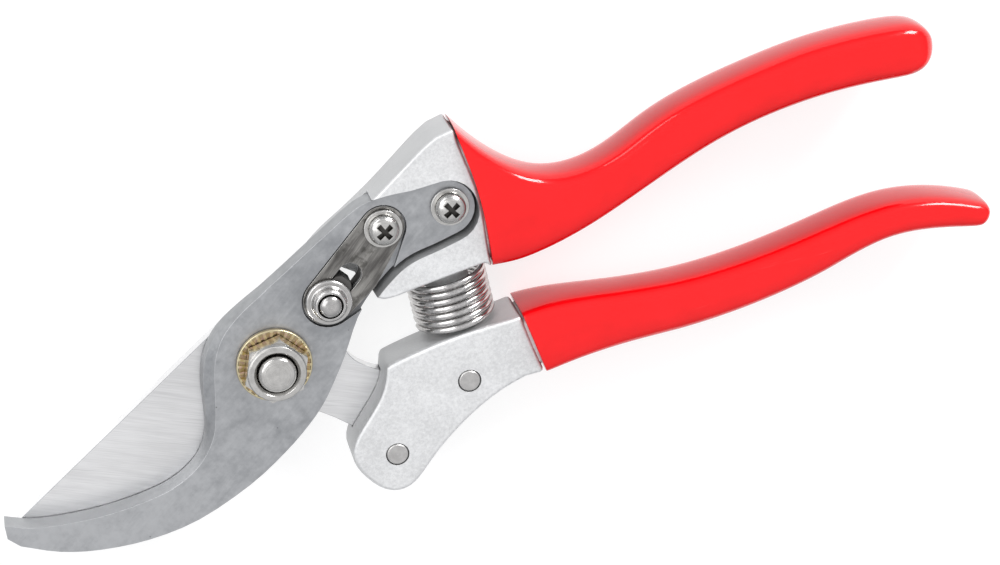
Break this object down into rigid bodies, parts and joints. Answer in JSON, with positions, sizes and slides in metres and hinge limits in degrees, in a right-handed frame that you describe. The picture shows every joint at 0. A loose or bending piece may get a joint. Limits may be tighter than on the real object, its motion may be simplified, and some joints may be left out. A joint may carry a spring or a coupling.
{
  "type": "pruning shears",
  "caption": "Bypass pruning shears with forged aluminium handles in dipped red grips, a hooked counter blade, a coil spring and a sliding thumb lock, closed and locked.",
  "frame": {"origin": "on the pivot axis, at the back face of the pivot bolt's head", "axes": "+X from the jaws to the ends of the handles, +Y towards the upper handle, +Z from the bolt's head to the nut"},
  "size_m": [0.2169, 0.0699, 0.0228],
  "materials": {
    "hook_steel": "satin forged steel",
    "blade_steel": "ground steel",
    "forged_aluminium": "blasted forging",
    "red_vinyl": "glossy dipped vinyl",
    "nickel_plate": "nickel plate",
    "pin_steel": "ground flush",
    "yellow_zinc": "yellow zinc plate on steel",
    "spring_steel": "polished spring steel strip",
    "spring_wire": "nickel-plated wire"
  },
  "bodies": {
    "upper_half": {"upper_handle": "forged_aluminium", "upper_grip": "red_vinyl", "hook_plate": "hook_steel", "rear_hook_screw": "nickel_plate", "rear_hook_screw_washer": "nickel_plate", "front_hook_screw": "nickel_plate", "front_hook_screw_washer": "nickel_plate", "lock_leaf_spring": "spring_steel", "pivot_bolt": "nickel_plate", "pivot_back_washer": "nickel_plate", "pivot_toothed_washer": "yellow_zinc", "pivot_nut": "nickel_plate", "coil_spring": "spring_wire"},
    "lower_half": {"lower_handle": "forged_aluminium", "lower_grip": "red_vinyl", "cutting_blade": "blade_steel", "front_tang_pin": "pin_steel", "rear_tang_pin": "pin_steel"},
    "lock": {"lock_button": "nickel_plate", "lock_stud": "nickel_plate", "lock_key": "blade_steel"}
  },
  "joints": [
    {"name": "handle_pivot", "type": "hinge", "parent": "upper_half", "child": "lower_half", "pos_m": [0, 0, 0.0086], "axis": [0, 0, -1], "range_deg": [0, 35], "deforming": ["coil_spring"]},
    {"name": "lock_slide", "type": "slide", "parent": "upper_half", "child": "lock", "axis": [0.8746, 0.4848, 0], "range_m": [0, 0.003]}
  ]
}
